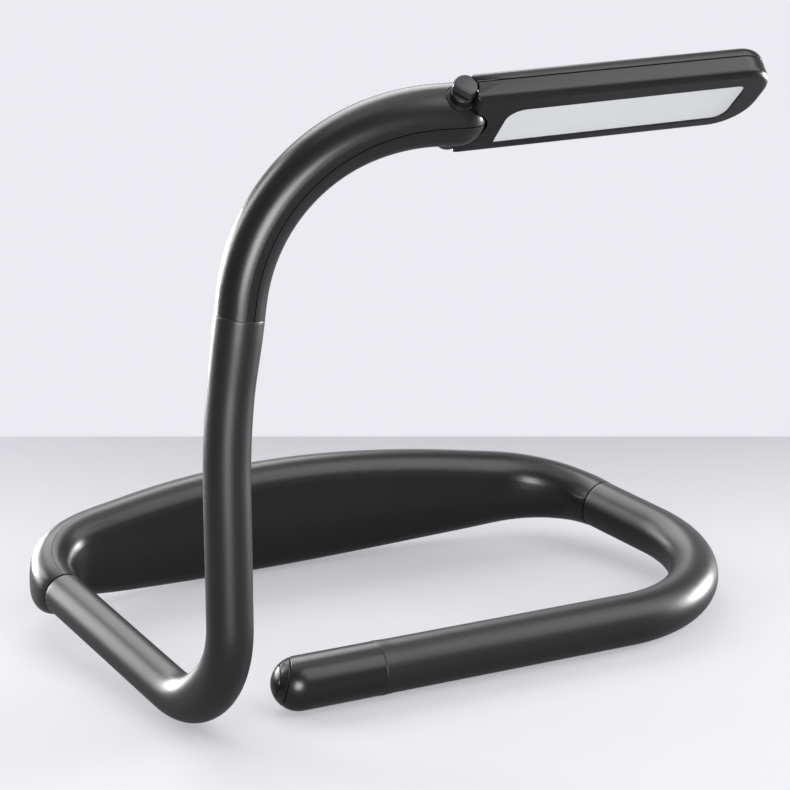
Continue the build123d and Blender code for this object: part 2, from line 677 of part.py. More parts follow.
# End cap: turned profiles about the axis of the front rail
cap_side = Plane(origin=CAP_SEAM, x_dir=cap_axis, z_dir=cap_axis.cross(Vector(0, 0, 1)))
cap_turn = Axis(CAP_SEAM, cap_axis)


def along_cap(place):
    """Plane square to the end cap's axis."""
    return Plane(origin=CAP_SEAM + cap_axis * place, x_dir=(0, 0, 1), z_dir=cap_axis)


with BuildPart() as end_sleeve:
    with BuildSketch(cap_side) as sleeve_profile:
        with BuildLine():
            Polyline((0, CAP_BORE), (0, CAP_RADIUS), (CAP_LENGTH, CAP_RADIUS), (CAP_LENGTH, BEZEL_RADIUS + 0.02),
                     (CAP_SOCKET, BEZEL_RADIUS + 0.02), (CAP_SOCKET, CAP_BORE), close=True)
        make_face()
        fillet(sleeve_profile.vertices().group_by(Axis.Y)[-1].sort_by(Axis.X)[-1], CAP_ROUND)
    revolve(axis=cap_turn)
finish(end_sleeve, "end_sleeve")

with BuildPart() as button_bezel:
    with BuildSketch(cap_side) as bezel_profile:
        with BuildLine():
            Polyline((CAP_SOCKET + 0.05, BEZEL_BORE), (CAP_SOCKET + 0.05, BEZEL_RADIUS),
                     (BEZEL_END, BEZEL_RADIUS), (BEZEL_END, BEZEL_BORE), close=True)
        make_face()
        fillet(bezel_profile.vertices().group_by(Axis.Y)[-1].sort_by(Axis.X)[-1], BEZEL_ROUND)
    revolve(axis=cap_turn)
finish(button_bezel, "button_bezel")

with BuildPart() as power_button:
    with BuildSketch(cap_side) as button_profile:
        with BuildLine():
            Polyline((BUTTON_END, 0), (BUTTON_END, BUTTON_RADIUS), (BUTTON_START, BUTTON_RADIUS),
                     (BUTTON_START, BUTTON_RADIUS - BUTTON_WALL),
                     (BUTTON_END - BUTTON_WALL, BUTTON_RADIUS - BUTTON_WALL),
                     (BUTTON_END - BUTTON_WALL, BUTTON_STEM_RADIUS), (BUTTON_STEM, BUTTON_STEM_RADIUS),
                     (BUTTON_STEM, 0), close=True)
        make_face()
        fillet(button_profile.vertices().group_by(Axis.Y)[-1].sort_by(Axis.X)[-1], BUTTON_ROUND)
    revolve(axis=cap_turn)
finish(power_button, "power_button")

with BuildPart() as switch_board:
    with BuildSketch(along_cap(SWITCH_BOARD[0])):
        Circle(CAP_BORE - 0.15)
    extrude(amount=SWITCH_BOARD[1] - SWITCH_BOARD[0])
finish(switch_board, "switch_board")

with BuildPart() as tact_switch:
    with BuildSketch(along_cap(SWITCH_BOARD[1] + 0.02)):
        Rectangle(SWITCH_SIZE, SWITCH_SIZE)
    extrude(amount=SWITCH_TOP - SWITCH_BOARD[1] - 0.02)
    with BuildSketch(along_cap(SWITCH_TOP)):
        Circle(PLUNGER_RADIUS)
    extrude(amount=PLUNGER_TOP - SWITCH_TOP)
finish(tact_switch, "tact_switch")

finish(rod(straight(CAP_SEAM + cap_axis * (CORE_TAIL + 0.5), CAP_SEAM + cap_axis * (SWITCH_BOARD[0] - 0.1)),
           LEAD_RADIUS), "cap_lead")
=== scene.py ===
"""Neck reading light: sleeves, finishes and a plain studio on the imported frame, laid out as an add-on."""
import math

import bmesh
import bpy
from mathutils import Matrix, Vector


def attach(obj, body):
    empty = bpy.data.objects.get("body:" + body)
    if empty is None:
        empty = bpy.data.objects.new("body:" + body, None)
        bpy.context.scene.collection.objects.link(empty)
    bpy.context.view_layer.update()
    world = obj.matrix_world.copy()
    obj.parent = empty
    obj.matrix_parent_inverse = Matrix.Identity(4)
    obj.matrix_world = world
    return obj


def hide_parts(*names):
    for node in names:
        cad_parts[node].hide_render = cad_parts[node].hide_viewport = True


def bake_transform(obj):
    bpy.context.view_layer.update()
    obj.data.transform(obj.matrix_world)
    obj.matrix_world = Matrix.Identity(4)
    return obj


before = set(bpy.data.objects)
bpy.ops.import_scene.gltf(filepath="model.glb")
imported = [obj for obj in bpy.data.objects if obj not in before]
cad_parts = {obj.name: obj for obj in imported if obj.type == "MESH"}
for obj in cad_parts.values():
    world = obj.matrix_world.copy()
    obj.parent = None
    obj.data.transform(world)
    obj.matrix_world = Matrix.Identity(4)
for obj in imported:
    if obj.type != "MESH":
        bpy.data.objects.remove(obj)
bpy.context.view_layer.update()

bl_info = {
    "name": "Neck reading light",
    "version": (1, 0, 0),
    "blender": (4, 5, 0),
    "location": "3D View > Sidebar > Neck light",
    "description": "Dresses the packed neck reading light with sleeves, finishes and a plain studio",
    "category": "Add Mesh",
}

MM = 0.001

# Routes of the two goosenecks in millimetres, repeated from the part's source
LEFT_SEAM = Vector((-82.3, 34.96, 13.016))
LEFT_FOOT_CORNER = Vector((-69.1, -46.4, 2.05))
LEFT_FOOT_BEND = 24.0
UPRIGHT_BEND = 200.0
ARM_SEAM = Vector((-64.7, -43.7, 99.6))
ARM_START = Vector((0.1353, -0.0190, 0.9906))
UPRIGHT_CORNER = ARM_SEAM - ARM_START * 23.4
RIGHT_SEAM = Vector((75.7, 35.955, 13.1155))
RIGHT_FRONT_CORNER = Vector((91.9, -28.7, 6.65))
RIGHT_FRONT_BEND = 36.0
CAP_SEAM = Vector((-23.1, -30.0, 6.65))
ROOT_FLEX = 16.0
SEAM_GAP = 0.25
CORE_TAIL = 6.5     # how far a core reaches into the neck band
MOUTH_START = 2.0   # how far before its seam a sleeve's mouth starts

# Lamp head in its own directions: along it from the hinge pin, across it to the rear, and up from the lit side
HEAD_HINGE = Vector((-15.0805, -50.6736, 144.4159))
HEAD_ALONG = Vector((0.9893, -0.1390, 0.0436)).normalized()
HEAD_ACROSS = Vector((0.1314, 0.7215, -0.6799)).normalized()
HEAD_UP = HEAD_ALONG.cross(HEAD_ACROSS)
HEAD_LOW, HEAD_SEAM, HEAD_HIGH = -4.1, 0.84, 3.85
HEAD_FOLD, HEAD_CROWN = 1.8, 2.2   # roundings of its lower and upper edges
HEAD_OUTLINE = ((1.9, -10.95), (74.2, -10.95), (71.4, 10.35), (0.6, 10.7))
HEAD_CORNERS = (0.5, 7.2, 10.5, 0.5)
HEAD_WALL = 1.2
WINDOW_OUTLINE = ((10.6, -5.35), (67.2, -6.0), (65.3, 6.65), (9.35, 7.3))
WINDOW_CORNERS = (4.2, 1.8, 3.6, 0.6)
NOSE_RADIUS, BARREL_RADIUS = 7.5, 3.1   # spaces in it for the arm's round nose and for the knuckles

# End cap: a tube with a domed end, closed at DOME_TIP degrees, and two leaning seams, each with its mean angle
# up the dome and its lean
CAP_ALONG = Vector((-0.99994, -0.01130, 0.0))
CAP_LEAN = Vector((0.0, -0.87, -0.49))   # the side where the seams are nearer the tip
CAP_RADIUS, CAP_BORE = 6.65, 5.1
DOME_START, DOME_LENGTH, DOME_TIP = 22.3, 6.9, 88
RING_SEAM, BUTTON_SEAM = (30, 22), (55, 20)

# Sizes of meshes and finishes
TUBE_CRISP, RING_CRISP = 50, 38   # angles in degrees above which edges of tubes and of the rest are crisp
PATCH_SIZE = 14   # handling patches on mouldings, in millimetres


def linear(value):
    """Linear RGBA of an sRGB hex colour."""
    channels = [((value >> shift) & 255) / 255 for shift in (16, 8, 0)]
    return tuple(c / 12.92 if c <= 0.04045 else ((c + 0.055) / 1.055) ** 2.4 for c in channels) + (1.0,)


def length_property(label, description, value):
    """A length in metres, given in millimetres."""
    return bpy.props.FloatProperty(name=label, description=description, default=value * MM, min=0.0,
                                   precision=5, unit="LENGTH", subtype="DISTANCE")


def colour_property(label, description, value):
    """A colour, given as sRGB hex."""
    return bpy.props.FloatVectorProperty(name=label, description=description, default=linear(value)[:3],
                                         size=3, min=0.0, max=1.0, subtype="COLOR")


class NeckLightSizes(bpy.types.PropertyGroup):
    """Sizes of the sleeves."""
    left_radius: length_property("Left sleeve radius", "Half the thickness of the left sleeve", 5.4)
    right_radius: length_property("Right sleeve radius", "Half the thickness of the right sleeve", 6.6)
    core_radius: length_property("Core radius", "Half the thickness of the cord inside a sleeve", 2.6)
    bend_swell: length_property("Bend swell", "How much the left sleeve bunches up inside its tight bend", 1.7)
    arm_mouth: length_property("Arm mouth", "How far the left sleeve reaches over the arm", 2.9)
    cap_mouth: length_property("Cap mouth", "How far the right sleeve reaches over the end cap", 2.0)
    seam_round: length_property("Seam rounding", "Rounding of a sleeve's edge at a seam", 0.3)


class NeckLightColours(bpy.types.PropertyGroup):
    """Colours of the finishes."""
    silicone: colour_property("Silicone", "Sleeves of both goosenecks", 0x161617)
    soft_touch: colour_property("Soft-touch shell", "Covers of the neck band", 0x131314)
    moulding: colour_property("Black moulding", "Arm, lamp head and end cap", 0x131314)
    # The hinge colour is lighter than the moulding: a painted highlight on the knuckle ends
    hinge: colour_property("Hinge", "Knuckles of the lamp head", 0x2C2D2F)
    diffuser: colour_property("Diffuser", "Opal window of the lamp head", 0xD4D6D8)
    floor: colour_property("Floor", "Studio floor in front", 0xE8E8EC)
    # Far floor colour: painted shade, the floor darkening towards the foot of the backdrop
    floor_far_painted_shade: colour_property("Far floor", "Studio floor at the foot of the backdrop", 0xB9B9BE)
    backdrop: colour_property("Backdrop", "Studio backdrop", 0xECEBF1)


def colours():
    """The colours as set in the panel."""
    return bpy.context.scene.neck_light_colours


def sizes():
    """The sizes as set in the panel."""
    return bpy.context.scene.neck_light_sizes


# Routes

def corner_arc(before, corner, after, radius):
    """Start, centre and end of the arc that rounds a corner between two straight runs."""
    back, ahead = (before - corner).normalized(), (after - corner).normalized()
    half = back.angle(ahead) / 2
    centre = corner + (back + ahead).normalized() * (radius / math.sin(half))
    reach = radius / math.tan(half)
    return corner + back * reach, centre, corner + ahead * reach


def run_points(start, end, step):
    """Points and directions along a straight run, without its last one."""
    span = end - start
    count = max(2, math.ceil(span.length / step))
    return [(start + span * i / count, span.normalized()) for i in range(count)]


def arc_points(start, centre, end, step):
    """Points and directions round an arc, without its last one."""
    first, last = start - centre, end - centre
    angle = first.angle(last)
    normal = first.cross(last).normalized()
    count = max(4, math.ceil(angle * first.length / step))
    turned = [Matrix.Rotation(angle * i / count, 3, normal) @ first for i in range(count)]
    return [(centre + spoke, normal.cross(spoke).normalized()) for spoke in turned]


def smooth(share):
    """An even step from 0 to 1."""
    share = min(1.0, max(0.0, share))
    return share * share * (3 - 2 * share)


# Meshes

def link(name, vertices, faces, crisp):
    """A new piece from points in millimetres and its faces, shaded smooth up to an angle in degrees."""
    mesh = bpy.data.meshes.new(name)
    mesh.from_pydata([v * MM for v in vertices], [], faces)
    mesh.validate()
    for polygon in mesh.polygons:
        polygon.use_smooth = True
    mesh.set_sharp_from_angle(angle=math.radians(crisp))
    piece = bpy.data.objects.new(name, mesh)
    bpy.context.scene.collection.objects.link(piece)
    return piece


def tube_mesh(name, stations, sides=48):
    """A closed tube through stations of centre, direction and radius, and in some a swelling to one side."""
    vertices, faces = [], []
    side = stations[0][1].orthogonal().normalized()
    for centre, along, radius, *swelling in stations:
        side = (side - along * side.dot(along)).normalized()
        up = along.cross(side)
        for i in range(sides):
            turn = 2 * math.pi * i / sides
            outward = side * math.cos(turn) + up * math.sin(turn)
            reach = radius
            for swell in swelling:
                reach += max(0.0, outward.dot(swell.normalized())) ** 1.5 * swell.length
            vertices.append(centre + outward * reach)
    for ring in range(len(stations) - 1):
        for i in range(sides):
            a, b = ring * sides + i, ring * sides + (i + 1) % sides
            faces.append((a, b, b + sides, a + sides))
    faces.append(tuple(reversed(range(sides))))
    faces.append(tuple(range((len(stations) - 1) * sides, len(stations) * sides)))
    return link(name, vertices, faces, TUBE_CRISP)


def rounded_start(stations, edge):
    """Stations with their first edge rounded over."""
    centre, along, radius = stations[0]
    rim = []
    for i in range(4):
        turn = math.pi / 2 * i / 4
        place = centre + along * edge * (1 - math.cos(turn))
        rim.append((place, along, radius - edge * (1 - math.sin(turn))))
    rim.append((centre + along * edge, along, radius))
    # Stations past the rounding stay, and so do all far ones, where the sleeve may have turned back
    past, far = edge * 1.2, 8
    return rim + [s for s in stations if (s[0] - centre).dot(along) > past or (s[0] - centre).length > far]


def rounded_end(stations, edge):
    """Stations with their last edge rounded over."""
    flipped = [(c, -d, r) for c, d, r in reversed(stations)]
    return [(c, -d, r) for c, d, r in reversed(rounded_start(flipped, edge))]


def mouth_points(seam, along, reach, steps=5):
    """Distances past a seam, with their points, from where a sleeve's mouth starts to where it ends."""
    places = [-MOUTH_START + (reach + MOUTH_START) * i / steps for i in range(steps + 1)]
    return [(place, seam + along * place) for place in places]


def ring_piece(name, rings, closed):
    """A piece skinned over rings of as many points each, a closed loop or a stack capped at both ends."""
    count = len(rings[0])
    vertices = [point for ring in rings for point in ring]
    faces = []
    for i in range(len(rings) if closed else len(rings) - 1):
        near, far = i * count, (i + 1) % len(rings) * count
        for k in range(count):
            after = (k + 1) % count
            faces.append((near + k, near + after, far + after, far + k))
    if not closed:
        faces.append(tuple(reversed(range(count))))
        faces.append(tuple(range((len(rings) - 1) * count, len(rings) * count)))
    piece = link(name, vertices, faces, RING_CRISP)
    tidy = bmesh.new()
    tidy.from_mesh(piece.data)
    bmesh.ops.recalc_face_normals(tidy, faces=tidy.faces)
    tidy.to_mesh(piece.data)
    tidy.free()
    return piece


def turned_piece(name, origin, along, profile, closed, sides=64):
    """A piece turned about an axis, from a profile of distances along the axis and radii."""
    side = along.orthogonal().normalized()
    up = along.cross(side)
    turns = [2 * math.pi * i / sides for i in range(sides)]
    rings = [[origin + along * away + (side * math.cos(t) + up * math.sin(t)) * radius for t in turns]
             for away, radius in profile]
    return ring_piece(name, rings, closed)


def rounding(centre, radius, first, last, steps=5):
    """Profile points round an arc, in degrees from the axis direction towards larger radii."""
    angles = [math.radians(first + (last - first) * i / steps) for i in range(steps + 1)]
    return [(centre[0] + radius * math.cos(a), centre[1] + radius * math.sin(a)) for a in angles]


def head_point(u, v, w):
    """A point of the lamp head in the shared frame."""
    return HEAD_HINGE + HEAD_ALONG * u + HEAD_ACROSS * v + HEAD_UP * w


def head_ring(outline, corners, inset, level, arc_steps=10, side_steps=8):
    """The rounded outline of the head or its window, drawn smaller by the inset, at a level."""
    points = [Vector((u, v, 0)) for u, v in outline]
    shrunk = []
    for i, corner in enumerate(points):
        back, ahead = (points[i - 1] - corner).normalized(), (points[(i + 1) % 4] - corner).normalized()
        shrunk.append(corner + (back + ahead).normalized() * (inset / math.sin(back.angle(ahead) / 2)))
    arcs = [corner_arc(shrunk[i - 1], shrunk[i], shrunk[(i + 1) % 4], max(0.1, corners[i] - inset))
            for i in range(4)]
    ring = []
    for i, (start, centre, end) in enumerate(arcs):
        spoke = start - centre
        turn = spoke.angle(end - centre)
        normal = spoke.cross(end - centre).normalized()
        turned = [Matrix.Rotation(turn * k / arc_steps, 3, normal) @ spoke for k in range(arc_steps + 1)]
        ring += [centre + spoke for spoke in turned]
        ring += [end.lerp(arcs[(i + 1) % 4][0], k / side_steps) for k in range(1, side_steps)]
    return [head_point(q.x, q.y, level) for q in ring]


def carve(piece, cutters):
    """Cut other pieces out of this one, and shade its flat faces flat."""
    for cutter in cutters:
        cut = piece.modifiers.new("Carve", "BOOLEAN")
        cut.operation, cut.solver, cut.object = "DIFFERENCE", "EXACT", cutter
    even = piece.modifiers.new("Even shading", "WEIGHTED_NORMAL")
    even.keep_sharp = True
    solid = bpy.data.meshes.new_from_object(piece.evaluated_get(bpy.context.evaluated_depsgraph_get()))
    piece.modifiers.clear()
    old, piece.data = piece.data, solid
    bpy.data.meshes.remove(old)


def discard(pieces):
    """Remove the helper pieces that others were cut with."""
    for piece in pieces:
        mesh = piece.data
        bpy.data.objects.remove(piece)
        bpy.data.meshes.remove(mesh)


# Materials

def add_node(tree, kind, settings=None, links=None):
    """Add a node, set its sockets and properties by name, and link sources into its sockets."""
    node = tree.nodes.new(kind)
    for key, value in (settings or {}).items():
        if hasattr(node, key):
            setattr(node, key, value)
        else:
            node.inputs[key].default_value = value
    for key, source in (links or {}).items():
        tree.links.new(source, node.inputs[key])
    return node


def new_material(name, settings):
    """A material with one shader, ready for its pattern."""
    material = bpy.data.materials.new(name)
    material.use_nodes = True
    tree = material.node_tree
    tree.nodes.clear()
    shader = add_node(tree, "ShaderNodeBsdfPrincipled", settings)
    add_node(tree, "ShaderNodeOutputMaterial", links={"Surface": shader.outputs[0]})
    place = add_node(tree, "ShaderNodeTexCoord").outputs["Object"]
    return material, tree, shader, place


def ranged(tree, source, low, high):
    """Map a 0 to 1 value onto a range."""
    return add_node(tree, "ShaderNodeMapRange", {"To Min": low, "To Max": high}, {"Value": source}).outputs[0]


def shade(colour, factor=1.0):
    """A colour made darker or lighter, and opaque."""
    return tuple(min(1.0, c * factor) for c in colour[:3]) + (1.0,)


def mixed_colour(tree, share, first, second):
    """A colour that goes from the first, which may be a socket, to the second as a share goes from 0 to 1."""
    node = add_node(tree, "ShaderNodeMix", {"data_type": "RGBA"}, {"Factor": share})
    if isinstance(first, bpy.types.NodeSocket):
        tree.links.new(first, node.inputs[6])
    else:
        node.inputs[6].default_value = first
    node.inputs[7].default_value = second
    return node.outputs[2]


def moulded(name, colour, roughness, grain_mm, depth_mm, mottle=0.08, **settings):
    """Moulded plastic or rubber: an even body colour, the fine grain of the tool and slight unevenness."""
    material, tree, shader, place = new_material(name, {"Roughness": roughness, "IOR": 1.5, **settings})
    # Tool grain: a fine random texture that the mould leaves on every face
    fine = {"Scale": 1 / (grain_mm * MM), "Detail": 3.0, "Roughness": 0.6}
    grain = add_node(tree, "ShaderNodeTexNoise", fine, {"Vector": place}).outputs["Fac"]
    # Handling: broad patches that are a little more or less matt
    broad = {"Scale": 1 / (PATCH_SIZE * MM), "Detail": 4.0, "Roughness": 0.55}
    patches = add_node(tree, "ShaderNodeTexNoise", broad, {"Vector": place}).outputs["Fac"]
    tone = mixed_colour(tree, patches, shade(colour, 1 - mottle), shade(colour, 1 + mottle))
    tree.links.new(tone, shader.inputs["Base Color"])
    tree.links.new(ranged(tree, patches, roughness * 0.92, roughness * 1.08), shader.inputs["Roughness"])
    bump = add_node(tree, "ShaderNodeBump", {"Strength": 1.0, "Distance": depth_mm * MM}, {"Height": grain})
    tree.links.new(bump.outputs[0], shader.inputs["Normal"])
    return material


def paint(node, material):
    """Give a CAD node or a piece its material."""
    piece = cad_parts[node] if isinstance(node, str) else node
    piece.data.materials.clear()
    piece.data.materials.append(material)


def shared(name, *finish):
    """A moulded material that several pieces share, made the first time that it is asked for."""
    return bpy.data.materials.get(name) or moulded(name, *finish)


def silicone():
    """Silicone rubber: matt, with soft broad highlights and pale edges."""
    return shared("Silicone rubber, moulded matt", colours().silicone, 0.38, 0.5, 0.004, 0.05)


def soft_touch():
    """Polycarbonate with a soft-touch coat: like the sleeves, a shade darker and smoother."""
    return shared("Polycarbonate, soft-touch coated", colours().soft_touch, 0.32, 0.4, 0.003, 0.05)


def black_moulding():
    """ABS moulded in a lightly polished tool: clear highlights on black."""
    return shared("ABS, semi-gloss moulded", colours().moulding, 0.30, 0.35, 0.0015, 0.04)


def hinge_plastic_and_highlight():
    """Hinge plastic in a lighter grey than the moulding: a painted highlight on the knuckle ends, shared by
    the friction washers.
    """
    return shared("Hinge plastic, lightened as painted highlight", colours().hinge, 0.3, 0.4, 0.003, 0.04)


# Pieces

class NECKLIGHT_OT_left_sleeve(bpy.types.Operator):
    """Makes the left silicone sleeve in three pieces, one for each joint that it bends over"""
    bl_idname = "neck_light.left_sleeve"
    bl_label = "Left sleeve"

    def execute(self, context):
        size = sizes()
        radius, edge = size.left_radius / MM, size.seam_round / MM
        down = (LEFT_FOOT_CORNER - LEFT_SEAM).normalized()
        foot_bend = corner_arc(LEFT_SEAM, LEFT_FOOT_CORNER, UPRIGHT_CORNER, LEFT_FOOT_BEND)
        bow_bend = corner_arc(LEFT_FOOT_CORNER, UPRIGHT_CORNER, ARM_SEAM, UPRIGHT_BEND)
        foot_start, foot_centre, foot_end = foot_bend
        bow_start, _, bow_end = bow_bend
        rise = (bow_start - foot_end).normalized()
        overlap = 3.0
        split_low, split_high = foot_start - down * overlap, bow_start - rise * overlap

        root = [(p, d, radius) for p, d in run_points(LEFT_SEAM + down * SEAM_GAP, split_low, step=1.6)]
        root.append((split_low, down, radius))
        piece = tube_mesh("left_sleeve_root", rounded_start(root, edge))
        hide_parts("left_root_skin", "left_rail_skin")
        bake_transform(piece)
        paint(piece, silicone())

        # The sleeve bunches up inside the tight bend, so it is thicker there towards the centre of the bend.
        # Elsewhere the least swell only keeps that direction
        inward = (foot_centre - (foot_start + foot_end) / 2).normalized()
        middle, swell_reach, least_swell = foot_centre - inward * LEFT_FOOT_BEND, 24.0, 1e-6
        line = run_points(split_low, foot_start, step=1.5) + arc_points(*foot_bend, step=1.1)
        line += run_points(foot_end, split_high, step=1.6) + [(split_high, rise)]
        foot = []
        for p, d in line:
            swell = size.bend_swell / MM * smooth(1 - (p - middle).length / swell_reach)
            foot.append((p, d, radius, inward * max(swell, least_swell)))
        piece = tube_mesh("left_sleeve_foot", foot)
        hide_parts("left_bend_skin", "upright_skin")
        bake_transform(piece)
        paint(piece, silicone())

        # The sleeve widens gently towards its mouth, which reaches over the arm's end
        flare, flare_length = 0.30, 16.0
        line = run_points(split_high, bow_start, step=1.5) + arc_points(*bow_bend, step=1.6)
        line += run_points(bow_end, ARM_SEAM - ARM_START * MOUTH_START, step=1.6)
        top = [(p, d, radius + flare * smooth(1 - (ARM_SEAM - p).length / flare_length)) for p, d in line]
        mouth = mouth_points(ARM_SEAM, ARM_START, size.arm_mouth / MM)
        top += [(p, ARM_START, radius + flare) for _, p in mouth]
        piece = tube_mesh("left_sleeve_top", rounded_end(top, edge))
        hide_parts("upright_flex_skin", "upright_top_skin")
        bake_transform(piece)
        paint(piece, silicone())
        return {"FINISHED"}


class NECKLIGHT_OT_right_sleeve(bpy.types.Operator):
    """Makes the right silicone sleeve in two pieces, one for each joint that it bends over"""
    bl_idname = "neck_light.right_sleeve"
    bl_label = "Right sleeve"

    def execute(self, context):
        size = sizes()
        radius, edge = size.right_radius / MM, size.seam_round / MM
        down = (RIGHT_FRONT_CORNER - RIGHT_SEAM).normalized()
        across = (CAP_SEAM - RIGHT_FRONT_CORNER).normalized()
        bend = corner_arc(RIGHT_SEAM, RIGHT_FRONT_CORNER, CAP_SEAM, RIGHT_FRONT_BEND)
        bend_start, _, bend_end = bend
        overlap = 2.0
        split = bend_start - down * overlap

        root = [(p, d, radius) for p, d in run_points(RIGHT_SEAM + down * SEAM_GAP, split, step=1.2)]
        root.append((split, down, radius))
        piece = tube_mesh("right_sleeve_root", rounded_start(root, edge), sides=56)
        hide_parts("right_root_skin", "right_rail_skin")
        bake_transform(piece)
        paint(piece, silicone())

        # The sleeve widens a little at its mouth, which reaches over the end cap
        flare, flare_length = 0.16, 4.0
        line = run_points(split, bend_start, step=1.0) + arc_points(*bend, step=1.4)
        line += run_points(bend_end, CAP_SEAM - across * MOUTH_START, step=2.0)
        front = [(p, d, radius) for p, d in line]
        for place, p in mouth_points(CAP_SEAM, across, size.cap_mouth / MM):
            front.append((p, across, radius + flare * smooth((place + MOUTH_START) / flare_length)))
        piece = tube_mesh("right_sleeve_front", rounded_end(front, edge), sides=56)
        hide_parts("right_bend_skin", "front_rail_skin")
        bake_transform(piece)
        paint(piece, silicone())
        return {"FINISHED"}


class NECKLIGHT_OT_cores(bpy.types.Operator):
    """Makes the bending stretches of both cores and gives the other stretches the cord's finish"""
    bl_idname = "neck_light.cores"
    bl_label = "Gooseneck cores"

    def execute(self, context):
        radius = sizes().core_radius / MM
        cord = moulded("Thermoplastic elastomer, extruded", linear(0x3A3A3C), 0.5, 0.3, 0.003)
        foot = corner_arc(LEFT_SEAM, LEFT_FOOT_CORNER, UPRIGHT_CORNER, LEFT_FOOT_BEND)
        bow = corner_arc(LEFT_FOOT_CORNER, UPRIGHT_CORNER, ARM_SEAM, UPRIGHT_BEND)
        front = corner_arc(RIGHT_SEAM, RIGHT_FRONT_CORNER, CAP_SEAM, RIGHT_FRONT_BEND)
        straight = {
            "left_root_core": (LEFT_SEAM, LEFT_FOOT_CORNER, "neck_band", "left_rail"),
            "right_root_core": (RIGHT_SEAM, RIGHT_FRONT_CORNER, "neck_band", "right_rail"),
        }
        for node, (seam, corner, a, b) in straight.items():
            down = (corner - seam).normalized()
            start, end = seam - down * CORE_TAIL, seam + down * ROOT_FLEX
            stations = [(p, d, radius) for p, d in run_points(start, end, step=1.6)]
            stations.append((end, (end - start).normalized(), radius))
            piece = tube_mesh(node.replace("_core", "_cord"), stations, sides=24)
            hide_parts(node)
            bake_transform(piece)
            paint(piece, cord)
        curved = {
            "left_bend_core": (foot, "left_rail", "upright"),
            "upright_flex_core": (bow, "upright", "arm"),
            "right_bend_core": (front, "right_rail", "front_rail"),
        }
        for node, ((start, centre, end), a, b) in curved.items():
            normal = (start - centre).cross(end - centre).normalized()
            stations = [(p, d, radius) for p, d in arc_points(start, centre, end, step=1.5)]
            stations.append((end, normal.cross(end - centre).normalized(), radius))
            piece = tube_mesh(node.replace("_core", "_cord"), stations, sides=24)
            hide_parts(node)
            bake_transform(piece)
            paint(piece, cord)
        for node in ("left_rail_core", "upright_core", "upright_top_core", "right_rail_core",
                     "front_rail_core"):
            paint(node, cord)
        return {"FINISHED"}


class NECKLIGHT_OT_neck_band(bpy.types.Operator):
    """Finishes the neck band: soft-touch covers and charge light"""
    bl_idname = "neck_light.neck_band"
    bl_label = "Neck band"

    def execute(self, context):
        for node in ("inner_cover", "outer_cover"):
            paint(node, soft_touch())
        lens = moulded("Polycarbonate, frosted", linear(0xC9CDD0), 0.35, 0.3, 0.002,
                       **{"Transmission Weight": 0.5})
        paint("charge_light_lens", lens)
        return {"FINISHED"}


class NECKLIGHT_OT_arm(bpy.types.Operator):
    """Finishes the rigid arm and its hinge"""
    bl_idname = "neck_light.arm"
    bl_label = "Arm and hinge"

    def execute(self, context):
        for node in ("arm_shell", "arm_inner_cover"):
            paint(node, black_moulding())
        paint("friction_washers", hinge_plastic_and_highlight())
        self.knuckles()
        return {"FINISHED"}

    def knuckles(self):
        """The two knuckles on the head's yoke, the front one cut back below the arm's shoulder line."""
        rear = self.knuckle("rear_knuckle", HEAD_ACROSS, radius=2.9, end=10.4, edge=0.5)
        core = self.knuckle("front_knuckle_core", -HEAD_ACROSS, radius=2.7, end=8.7, edge=0.3)
        face = self.knuckle_face()
        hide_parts("head_yoke")
        # The rear knuckle and the front knuckle's face get the lighter hinge grey as painted highlight; the
        # core below keeps the moulding's black
        for piece, material in ((rear, hinge_plastic_and_highlight()), (core, black_moulding()), (face, hinge_plastic_and_highlight())):
            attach(piece, "head")
            paint(piece, material)

    def knuckle(self, name, along, radius, end, edge, start=6.7):
        """A round knuckle on the hinge line, with a rounded outer edge."""
        profile = [(start, radius), (end - edge, radius), *rounding((end - edge, radius - edge), edge, 90, 0)]
        return turned_piece(name, HEAD_HINGE, along, [*profile, (end, 0.3)], closed=False)

    def knuckle_face(self):
        """The front knuckle's outer end: a round edge above, and the shoulder line below."""
        centre_u, centre_w, radius = 0.25, 0.55, 2.75
        turns = [math.radians(a) for a in range(174, -64, -6)]
        edge = [(centre_u + radius * math.cos(t), centre_w + radius * math.sin(t)) for t in turns]
        outline = edge + [(0.95, -2.05), (0.5, -1.75), (-0.1, -1.3), (-1.45, -0.18), (-2.3, 0.55)]
        # Each ring's place across the head, and about how far it is drawn in towards the face's middle
        middle_u, middle_w, reach = 0.2, 0.9, 3
        levels = [(-6.7, 0.0), (-10.2, 0.0), (-10.5, 0.1), (-10.65, 0.3), (-10.7, 0.6)]
        rings = [[head_point(u + (middle_u - u) * inset / reach, v, w + (middle_w - w) * inset / reach)
                  for u, w in outline] for v, inset in levels]
        return ring_piece("front_knuckle", rings, closed=False)


